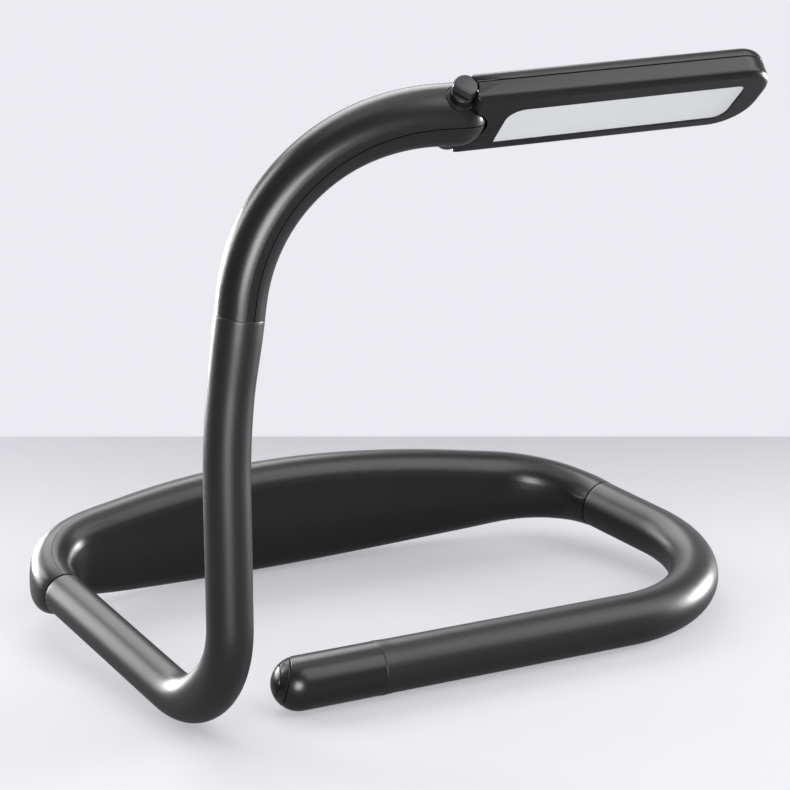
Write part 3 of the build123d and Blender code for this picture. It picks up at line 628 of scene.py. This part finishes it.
class NECKLIGHT_OT_lamp_head(bpy.types.Operator):
    """Finishes the lamp head: shells, opal diffuser and light strip"""
    bl_idname = "neck_light.lamp_head"
    bl_label = "Lamp head"

    def execute(self, context):
        base, cover = self.shells()
        ball = rounding((0, 0), NOSE_RADIUS, 179, 1, steps=28)
        rod = [(-12.0, BARREL_RADIUS), (12.0, BARREL_RADIUS)]
        nose = turned_piece("nose_space", HEAD_HINGE, HEAD_ACROSS, ball, closed=False, sides=48)
        barrel = turned_piece("barrel_space", HEAD_HINGE, HEAD_ACROSS, rod, closed=False, sides=48)
        for piece, node in ((base, "head_base"), (cover, "head_top_cover")):
            carve(piece, (nose, barrel))
            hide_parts(node)
            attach(piece, "head")
            paint(piece, black_moulding())
        discard((nose, barrel))
        window = self.window()
        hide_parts("diffuser")
        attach(window, "head")
        opal = moulded("Polycarbonate, opal sheet", colours().diffuser, 0.45, 0.6, 0.004, 0.02,
                       **{"Subsurface Weight": 0.25, "Subsurface Radius": (0.002, 0.002, 0.002)})
        paint(window, opal)
        paint("led_board", moulded("Solder mask, white", linear(0xE9EAEA), 0.4, 0.3, 0.003))
        paint("leds", moulded("Silicone resin with phosphor", linear(0xE8C94C), 0.3, 0.2, 0.002))
        return {"FINISHED"}

    def shells(self):
        """The tray round the window and the cover above the parting line, each a closed shell."""
        low, seam, high, wall = HEAD_LOW, HEAD_SEAM, HEAD_HIGH, HEAD_WALL
        # Thickness of the tray round the window, half the parting gap, and the inset of the roof's flat top
        floor, half_gap, flat = 1.1, 0.09, 4.5
        # The rounding down to the parting gap, as insets and distances from the parting line
        lip = ((0.0, 0.25), (0.06, 0.13), (0.2, half_gap))
        opening = ((0.0, floor), (0.0, 0.12), (-0.12, 0.0))
        fold = [(HEAD_FOLD - y, low + HEAD_FOLD - x) for x, y in rounding((0, 0), HEAD_FOLD, 0, 90, steps=6)]
        inside = ((wall, seam - half_gap), (wall, low + floor))
        sides = [*fold, *((inset, seam - away) for inset, away in lip), *inside]
        tray = [head_ring(WINDOW_OUTLINE, WINDOW_CORNERS, inset, low + rise) for inset, rise in opening]
        tray += [head_ring(HEAD_OUTLINE, HEAD_CORNERS, inset, level) for inset, level in sides]
        turned = rounding((0, 0), HEAD_CROWN, 0, 90, steps=7)
        crown = [(HEAD_CROWN - x, high - HEAD_CROWN + y) for x, y in turned]
        roof = [(wall + 1.0, high - wall), (wall, high - wall - 1.0), (wall, seam + half_gap)]
        roof += [(inset, seam + away) for inset, away in reversed(lip)] + crown + [(flat, high)]
        cover = [head_ring(HEAD_OUTLINE, HEAD_CORNERS, inset, level) for inset, level in roof]
        return ring_piece("head_tray", tray, closed=True), ring_piece("head_cover", cover, closed=False)

    def window(self):
        """The opal diffuser, a little back from the lit side."""
        recess, edge, clearance, thickness = 0.35, 0.08, 0.02, 0.75
        face = HEAD_LOW + recess
        levels = ((recess, face), (edge, face), (clearance, face + edge), (clearance, face + thickness))
        rings = [head_ring(WINDOW_OUTLINE, WINDOW_CORNERS, inset, level) for inset, level in levels]
        return ring_piece("opal_window", rings, closed=False)


class NECKLIGHT_OT_end_cap(bpy.types.Operator):
    """Makes the end cap: sleeve, ring and push button, which share one smooth dome"""
    bl_idname = "neck_light.end_cap"
    bl_label = "End cap and button"

    def execute(self, context):
        # Half a seam's gap and the start of its rounding in degrees, then its depth and wear in millimetres
        gap, edge, depth, worn = 0.9, 2.2, 1.2, 0.12
        foot, waist, bore_end, middle_ring = 0.3, 12.0, 19.0, (42.5, 21)
        ring_depth, button_depth = 1.2, 1.0
        sleeve = [self.turn(foot, CAP_BORE), self.turn(foot, CAP_RADIUS), self.turn(waist, CAP_RADIUS),
                  self.turn(bore_end, CAP_RADIUS)]
        sleeve += [self.dome(RING_SEAM, -edge, from_start=share / 8) for share in range(9)]
        sleeve += [self.dome(RING_SEAM, -gap, worn), self.dome(RING_SEAM, -gap, depth),
                   self.turn(bore_end, CAP_BORE)]
        ring = [self.dome(RING_SEAM, gap, depth), self.dome(RING_SEAM, gap, worn), self.dome(RING_SEAM, edge),
                self.dome(middle_ring, 0), self.dome(BUTTON_SEAM, -edge), self.dome(BUTTON_SEAM, -gap, worn),
                self.dome(BUTTON_SEAM, -gap, worn, sink=ring_depth)]
        button = [self.dome(BUTTON_SEAM, gap, worn, sink=button_depth), self.dome(BUTTON_SEAM, gap, worn)]
        button += [self.dome(BUTTON_SEAM, edge, to_tip=share / 8) for share in range(9)]
        pieces = {
            "cap_sleeve": (sleeve, "end_sleeve", "front_rail", True),
            "button_ring": (ring, "button_bezel", "front_rail", True),
            "push_button": (button, "power_button", "button", False),
        }
        for name, (rings, node, body, closed) in pieces.items():
            piece = ring_piece(name, rings, closed)
            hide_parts(node)
            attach(piece, body)
            paint(piece, black_moulding())
        return {"FINISHED"}

    def spokes(self, sides=72):
        """Unit vectors square to the cap's axis, each with its share towards the lean."""
        side = CAP_LEAN.cross(CAP_ALONG).normalized()
        lean = CAP_ALONG.cross(side)
        turns = [2 * math.pi * i / sides for i in range(sides)]
        return [(math.cos(t), lean * math.cos(t) + side * math.sin(t)) for t in turns]

    def turn(self, away, radius):
        """A ring square to the axis."""
        return [CAP_SEAM + CAP_ALONG * away + spoke * radius for _, spoke in self.spokes()]

    def dome(self, seam, beside, inset=0.0, from_start=1.0, to_tip=0.0, sink=0.0):
        """A ring on the dome some degrees beside a seam, or a share of the way there or on to the tip."""
        angle, lean = seam
        ring = []
        for share, spoke in self.spokes():
            climb = (angle + beside + lean * share) * from_start
            climb = math.radians(climb + (DOME_TIP - climb) * to_tip)
            ring.append(CAP_SEAM + CAP_ALONG * (DOME_START + (DOME_LENGTH - inset) * math.sin(climb) - sink)
                        + spoke * ((CAP_RADIUS - inset) * math.cos(climb)))
        return ring


class NECKLIGHT_OT_insides(bpy.types.Operator):
    """Finishes what lies inside the mouldings: battery, boards, leads, ferrules, pin and screws"""
    bl_idname = "neck_light.insides"
    bl_label = "Inside parts"

    def execute(self, context):
        steel = moulded("Steel, nickel plated", linear(0xB9BBBD), 0.3, 0.25, 0.002, 0.03, Metallic=1.0)
        for node in ("left_ferrule", "right_ferrule", "arm_ferrule", "end_ferrule", "hinge_pin",
                     "board_screws", "charging_socket"):
            paint(node, steel)
        pouch = moulded("Aluminium laminate pouch", linear(0xB4B6B8), 0.35, 1.2, 0.02, Metallic=0.9)
        paint("battery_cell", pouch)
        paint("battery_pad", moulded("Polyurethane foam, open cell", linear(0x3B3B3D), 0.9, 0.6, 0.15))
        board = moulded("Glass-fibre board, green solder mask", linear(0x1F5A34), 0.35, 0.5, 0.004)
        for node in ("charge_board", "switch_board"):
            paint(node, board)
        lead = moulded("PVC lead insulation, extruded", linear(0x8E1F1B), 0.45, 0.4, 0.004)
        for node in ("left_band_lead", "right_band_lead", "arm_lead", "cap_lead"):
            paint(node, lead)
        paint("tact_switch", moulded("Nylon, glass filled", linear(0x2A2B2D), 0.55, 0.3, 0.006))
        return {"FINISHED"}


class NECKLIGHT_OT_stage(bpy.types.Operator):
    """Makes the sheet of floor and backdrop, the lamps, the world and the camera"""
    bl_idname = "neck_light.stage"
    bl_label = "Studio"

    def execute(self, context):
        context.scene.view_settings.view_transform = "Standard"
        aim = Vector((12.3, 36.8, 53.0)) * MM
        azimuth, line_away, sheet_half = math.radians(25.7), 0.754, 6.0
        ahead = Vector((math.sin(azimuth), math.cos(azimuth), 0))
        aside = Vector((math.cos(azimuth), -math.sin(azimuth), 0))
        camera = self.camera(aim, ahead)

        # Floor and backdrop are one sheet, and the backdrop's colour starts at the photograph's floor line
        floor_line = Vector((camera.location.x, camera.location.y, 0)) + ahead * line_away
        sheet = self.plane("studio_floor", floor_line, aside * sheet_half, ahead * sheet_half)
        sheet.data.materials.append(self.paper(ahead, floor_line.dot(ahead)))
        self.surroundings(ahead)

        # Azimuth from the camera's side and elevation in degrees, distance, width and height in metres, and
        # radiance
        softboxes = {
            "Front softbox": (2, 6, 0.60, 0.22, 0.23, 16.5),
            "Left rim softbox": (-107, 22, 0.95, 0.34, 0.76, 8.0),
            "Low left softbox": (-128, 3, 0.50, 0.24, 0.15, 40.0),
            "Right rim softbox": (108, 3, 0.50, 0.22, 0.14, 46.0),
            "High right softbox": (72, 45, 0.95, 0.90, 0.75, 2.8),
            "Back left softbox": (-160, 46, 0.95, 0.75, 0.60, 5.0),
            "Top softbox": (0, 88, 0.95, 0.80, 0.80, 1.2),
        }
        for name, (turn, rise, away, width, height, radiance) in softboxes.items():
            turn, rise = math.radians(turn), math.radians(rise)
            level = aside * math.sin(turn) - ahead * math.cos(turn)
            place = aim + (level * math.cos(rise) + Vector((0, 0, math.sin(rise)))) * away
            self.softbox(name, place, aim, width, height, radiance)
        return {"FINISHED"}

    def camera(self, aim, ahead):
        """The camera where the photograph was taken, looking a little down."""
        pitch, distance = math.radians(16.5), 0.65
        data = bpy.data.cameras.new("Camera")
        data.lens, data.sensor_width = 111.08, 36.0
        data.clip_start, data.clip_end = 0.05, 20.0
        camera = bpy.data.objects.new("Camera", data)
        view = ahead * math.cos(pitch) + Vector((0, 0, -math.sin(pitch)))
        camera.location = aim - view * distance
        camera.rotation_euler = view.to_track_quat("-Z", "Y").to_euler()
        bpy.context.scene.collection.objects.link(camera)
        bpy.context.scene.camera = camera
        return camera

    def plane(self, name, middle, half_x, half_y):
        """A flat rectangle of the stage."""
        mesh = bpy.data.meshes.new(name)
        corners = [middle - half_x - half_y, middle + half_x - half_y, middle + half_x + half_y,
                   middle - half_x + half_y]
        mesh.from_pydata(corners, [], [(0, 1, 2, 3)])
        piece = bpy.data.objects.new(name, mesh)
        bpy.context.scene.collection.objects.link(piece)
        return piece

    def paper(self, ahead, line):
        """Matt paper: the camera sees even pale colours under soft shadows, and reflections dimmer ones."""
        # Depth of the floor's fade in metres, a painted shade that darkens it towards the backdrop, then the
        # share of its colour that no lamp changes, and the levels that reflections and lamplight get
        fade, own_light, reflected, lamplight = 0.16, 0.45, 0.45, 0.62
        colour = colours()
        material = bpy.data.materials.new("Paper backdrop, matt")
        material.use_nodes = True
        tree = material.node_tree
        tree.nodes.clear()
        depth = self.along(tree, "Object", ahead)
        near = add_node(tree, "ShaderNodeMapRange", {"From Min": line - fade, "From Max": line},
                        {"Value": depth}).outputs[0]
        beyond = add_node(tree, "ShaderNodeMapRange", {"From Min": line, "From Max": line + 0.002},
                          {"Value": depth}).outputs[0]
        # Painted shade: the floor fades to the darker far colour towards the backdrop
        floor = mixed_colour(tree, near, shade(colour.floor), shade(colour.floor_far_painted_shade))
        sheet = mixed_colour(tree, beyond, floor, shade(colour.backdrop))
        path = add_node(tree, "ShaderNodeLightPath").outputs
        level = ranged(tree, path["Is Camera Ray"], reflected, 1.0)
        shown = add_node(tree, "ShaderNodeEmission", {}, {"Color": sheet, "Strength": level})
        matt = add_node(tree, "ShaderNodeMath", {"operation": "MULTIPLY"}, {0: level})
        matt.inputs[1].default_value = lamplight
        dimmed = add_node(tree, "ShaderNodeVectorMath", {"operation": "SCALE"},
                          {0: sheet, "Scale": matt.outputs[0]})
        lit = add_node(tree, "ShaderNodeBsdfDiffuse", {}, {"Color": dimmed.outputs[0]})
        # Rays that carry light to other things find only the lamps' light on the paper
        seen = self.larger(tree, path["Is Camera Ray"], path["Is Glossy Ray"])
        seen = self.larger(tree, seen, path["Is Transmission Ray"])
        share = ranged(tree, beyond, own_light, 1.0)
        weight = add_node(tree, "ShaderNodeMath", {"operation": "MULTIPLY"}, {0: seen, 1: share})
        mixed = add_node(tree, "ShaderNodeMixShader", {},
                         {0: weight.outputs[0], 1: lit.outputs[0], 2: shown.outputs[0]})
        add_node(tree, "ShaderNodeOutputMaterial", links={"Surface": mixed.outputs[0]})
        return material

    def along(self, tree, space, direction):
        """How far a place, or how straight a look, goes along a direction."""
        place = add_node(tree, "ShaderNodeTexCoord").outputs[space]
        product = add_node(tree, "ShaderNodeVectorMath", {"operation": "DOT_PRODUCT"}, {0: place})
        product.inputs[1].default_value = direction
        return product.outputs["Value"]

    def larger(self, tree, first, second):
        """The larger of two values."""
        return add_node(tree, "ShaderNodeMath", {"operation": "MAXIMUM"}, {0: first, 1: second}).outputs[0]

    def surroundings(self, ahead):
        """The dim studio round the object, with the pale backdrop behind it."""
        dim, pale, edge_from, edge_to = 0.22, 0.95, 0.70, 0.95
        world = bpy.data.worlds.new("Studio")
        bpy.context.scene.world = world
        world.use_nodes = True
        tree = world.node_tree
        tree.nodes.clear()
        edges = {"From Min": edge_from, "From Max": edge_to, "To Min": dim, "To Max": pale}
        behind = add_node(tree, "ShaderNodeMapRange", edges, {"Value": self.along(tree, "Generated", ahead)})
        camera_ray = add_node(tree, "ShaderNodeLightPath").outputs["Is Camera Ray"]
        strength = add_node(tree, "ShaderNodeMix", {"B": pale}, {"Factor": camera_ray, "A": behind.outputs[0]})
        fill = add_node(tree, "ShaderNodeBackground", {"Color": linear(0xF2F2F6)},
                        {"Strength": strength.outputs[0]})
        add_node(tree, "ShaderNodeOutputWorld", links={"Surface": fill.outputs[0]})

    def softbox(self, name, place, target, width, height, radiance):
        """A rectangular lamp that looks at the object, of one radiance whatever its size."""
        data = bpy.data.lights.new(name, "AREA")
        data.shape, data.size, data.size_y = "RECTANGLE", width, height
        data.energy = radiance * math.pi * width * height
        lamp = bpy.data.objects.new(name, data)
        lamp.location = place
        lamp.rotation_euler = (target - place).to_track_quat("-Z", "Y").to_euler()
        lamp.visible_camera = False
        bpy.context.scene.collection.objects.link(lamp)


OPERATORS = [
    NECKLIGHT_OT_left_sleeve,
    NECKLIGHT_OT_right_sleeve,
    NECKLIGHT_OT_cores,
    NECKLIGHT_OT_neck_band,
    NECKLIGHT_OT_arm,
    NECKLIGHT_OT_lamp_head,
    NECKLIGHT_OT_end_cap,
    NECKLIGHT_OT_insides,
    NECKLIGHT_OT_stage,
]


class NECKLIGHT_PT_panel(bpy.types.Panel):
    """Lists the sizes, the colours and the pieces"""
    bl_idname = "NECKLIGHT_PT_panel"
    bl_label = "Neck reading light"
    bl_space_type = "VIEW_3D"
    bl_region_type = "UI"
    bl_category = "Neck light"

    def draw(self, context):
        column = self.layout.column()
        for group in (context.scene.neck_light_sizes, context.scene.neck_light_colours):
            for name in group.__annotations__:
                column.prop(group, name)
        for operator in OPERATORS:
            column.operator(operator.bl_idname)


CLASSES = [NeckLightSizes, NeckLightColours, *OPERATORS, NECKLIGHT_PT_panel]


def register():
    for item in CLASSES:
        bpy.utils.register_class(item)
    bpy.types.Scene.neck_light_sizes = bpy.props.PointerProperty(type=NeckLightSizes)
    bpy.types.Scene.neck_light_colours = bpy.props.PointerProperty(type=NeckLightColours)


def unregister():
    del bpy.types.Scene.neck_light_colours
    del bpy.types.Scene.neck_light_sizes
    for item in reversed(CLASSES):
        bpy.utils.unregister_class(item)


def main():
    """Register the add-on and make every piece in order."""
    register()
    for operator in OPERATORS:
        group, name = operator.bl_idname.split(".")
        getattr(getattr(bpy.ops, group), name)()


if __name__ == "__main__":
    main()
